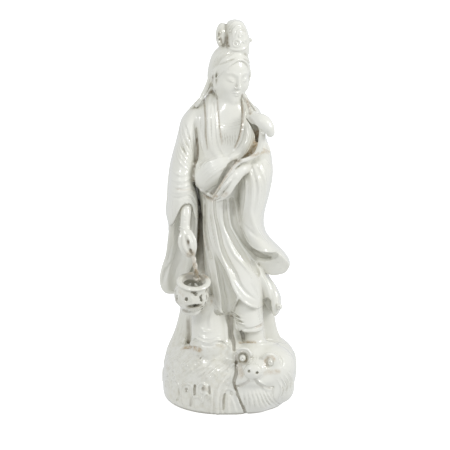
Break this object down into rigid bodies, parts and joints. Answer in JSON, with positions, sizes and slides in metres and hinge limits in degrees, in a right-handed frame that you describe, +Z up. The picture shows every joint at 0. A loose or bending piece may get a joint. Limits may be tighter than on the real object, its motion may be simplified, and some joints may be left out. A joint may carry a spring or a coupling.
{
  "type": "guanyin figure",
  "caption": "Standing robed figure of the goddess of mercy in white glazed porcelain, holding a pierced basket and a cloud-headed sceptre, on a wave and dragon-fish base.",
  "frame": {"origin": "middle of the bounding box, on the underside of the base", "axes": "+Z up through the figure, -Y the way the figure faces, +X to the viewer's right"},
  "size_m": [0.1728, 0.1432, 0.478],
  "materials": {
    "white_glaze": "glossy, cool white glaze over porcelain, grey-green where it pools, with brown stain in deep creases"
  },
  "bodies": {
    "root": {"guanyin_figure": "white_glaze"}
  },
  "joints": []
}
